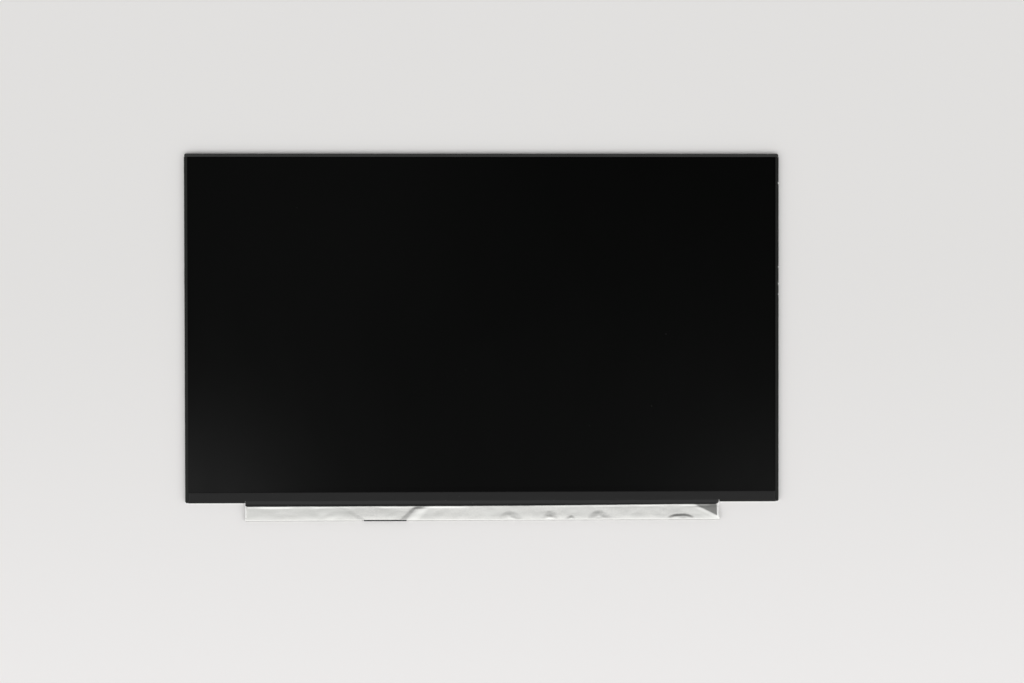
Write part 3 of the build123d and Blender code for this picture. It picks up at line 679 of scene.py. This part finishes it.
def wrap_film():
    """The film as one folded sheet, crinkled in front and behind, with its window cut out."""
    low, high = mm_box("board_wrap_film")
    board_high = mm_box("driver_board")[1]
    shell_low, shell_high = mm_box("video_connector_shell")
    feet = mm_box("video_connector_contacts")[1].y
    left, right = low.x, high.x
    top = board_high.y - FILM_TOP_INSET
    front = board_high.z + FILM_STAND_OFF
    rear = low.z
    radius = (front - rear) / 2
    fold = low.y + radius
    web = top - fold
    window_left = shell_low.x - WINDOW_MARGIN
    window_right = shell_high.x + WINDOW_MARGIN
    window_top = feet + WINDOW_MARGIN

    columns = spread([left, window_left, window_right, right], FILM_STEP)
    # rows: distance down the front, then the angle round the fold, then the distance up the back
    cut_angle = math.asin((radius - WINDOW_TRIM) / radius)
    rows = [("front", web * i / FRONT_ROWS) for i in range(FRONT_ROWS)]
    angles = sorted([math.pi * i / ARC_ROWS for i in range(ARC_ROWS)] + [cut_angle])
    rows += [("arc", a) for a in angles]
    depth = high.y - fold
    backs = sorted([depth * i / REAR_ROWS for i in range(REAR_ROWS + 1)] + [window_top - fold])
    rows += [("rear", b) for b in backs]
    first_cut = rows.index(("arc", cut_angle))
    last_cut = rows.index(("rear", window_top - fold))

    def point(x, row):
        kind, value = row
        if kind == "front":
            y = top - value
            z = front + film_relief(x, value, web, window_left, window_right, left, right)
            bow = math.sin(math.pi * min(value / END_FOLD_HEIGHT, 1.0))
            x -= END_BOW * bow * smooth(right - END_BOW_RUN, right, x)
        elif kind == "arc":
            out = film_relief(x, web, web, window_left, window_right, left, right)
            y = fold - (radius + uneven_face(FOLD_LUMPS, x, value)) * math.sin(value)
            z = (front + rear) / 2 + radius * math.cos(value) + out * (1.0 + math.cos(value)) / 2
        else:
            y = fold + value
            ease = smooth(0.0, REAR_EASE, value) * smooth(depth, depth - REAR_EASE, value)
            z = rear + abs(uneven_face(REAR_RIPPLE, x, y)) * ease
        return Vector((x, y, z))

    def kept(x, r):
        return not (window_left < x < window_right and first_cut <= r < last_cut)

    thin_sheet("crinkled_wrap_film", columns, rows, point, kept, FILM_SHEET,
               "board_wrap_film", "wrap_film")


cover_tape()
wrap_film()

# Floor
half = FLOOR_SIZE * MM / 2
floor_mesh = bpy.data.meshes.new("floor")
under = -FLOOR_GAP * MM
corners = [(-half, -half, under), (half, -half, under), (half, half, under), (-half, half, under)]
floor_mesh.from_pydata(corners, [], [(0, 1, 2, 3)])
floor_material, floor_tree, floor_shader = new_material("floor", Specular_IOR_Level=0.1, Roughness=0.8)
# painted shade: the floor's colour darkens towards the far side
far_part = level(floor_tree, axes(floor_tree)[Y_AXIS], *FLOOR_TURN)
floor_tone = blend_colours(floor_tree, far_part, FLOOR_NEAR, FLOOR_FAR)
floor_tree.links.new(floor_tone, floor_shader.inputs["Base Color"])
floor_mesh.materials.append(floor_material)
floor = bpy.data.objects.new("floor", floor_mesh)
bpy.context.scene.collection.objects.link(floor)

# Light: a soft surround, brighter from below the screen and from its lower sides, and three small lamps that
# light the screen alone, for the soft shine at its lower corners and its upper left
world = bpy.data.worlds.new("studio")
bpy.context.scene.world = world
world.use_nodes = True
sky = world.node_tree
toward = add_node(sky, "ShaderNodeTexCoord").outputs["Generated"]
heading = add_node(sky, "ShaderNodeSeparateXYZ", {0: toward}).outputs
ramp = add_node(sky, "ShaderNodeValToRGB", {"Fac": level(sky, heading["Y"], -1.0, 1.0, turn="LINEAR")})
stops = ramp.color_ramp.elements
while len(stops) < len(WORLD_RAMP):
    stops.new(0.5)
for stop, (position, strength) in zip(stops, WORLD_RAMP):
    stop.position = position
    stop.color = (strength, strength, strength, 1.0)
aside = level(sky, sums(sky, "ABSOLUTE", heading["X"], 0.0), *SIDES_FROM)
lower_side = sums(sky, "MULTIPLY", aside, level(sky, heading["Y"], *SIDES_FADE, 1.0, 0.0))
boost = level(sky, lower_side, 0.0, 1.0, 1.0, 1.0 + WORLD_SIDES)
overhead = sums(sky, "MULTIPLY", ramp.outputs["Color"], boost)
height = level(sky, heading["Z"], *HORIZON_FADE)
surround = add_node(sky, "ShaderNodeMix", {"Factor": height, "A": WORLD_HORIZON, "B": overhead})
sky.links.new(surround.outputs["Result"], sky.nodes["Background"].inputs["Strength"])
sky.nodes["Background"].inputs["Color"].default_value = (1.0, 1.0, 1.0, 1.0)

screen_only = bpy.data.collections.new("screen_only")
screen_only.objects.link(nodes["front_polarizer"])
for name, lamp_place, size, power in LAMPS:
    lamp = bpy.data.lights.new(name, "AREA")
    lamp.shape = "DISK"
    lamp.size = size * MM
    lamp.energy = power
    holder = bpy.data.objects.new(name, lamp)
    holder.location = Vector(lamp_place) * MM
    holder.rotation_euler = (-Vector(lamp_place)).to_track_quat("-Z", "Y").to_euler()
    holder.light_linking.receiver_collection = screen_only
    bpy.context.scene.collection.objects.link(holder)

# Camera
camera = bpy.data.cameras.new("camera")
camera.lens = CAMERA_LENS
camera.sensor_width = CAMERA_SENSOR
viewer = bpy.data.objects.new("camera", camera)
viewer.location = Vector(CAMERA_PLACE) * MM
viewer.rotation_euler = [math.radians(a) for a in CAMERA_TURN]
bpy.context.scene.collection.objects.link(viewer)
bpy.context.scene.camera = viewer
bpy.context.scene.view_settings.view_transform = "Standard"
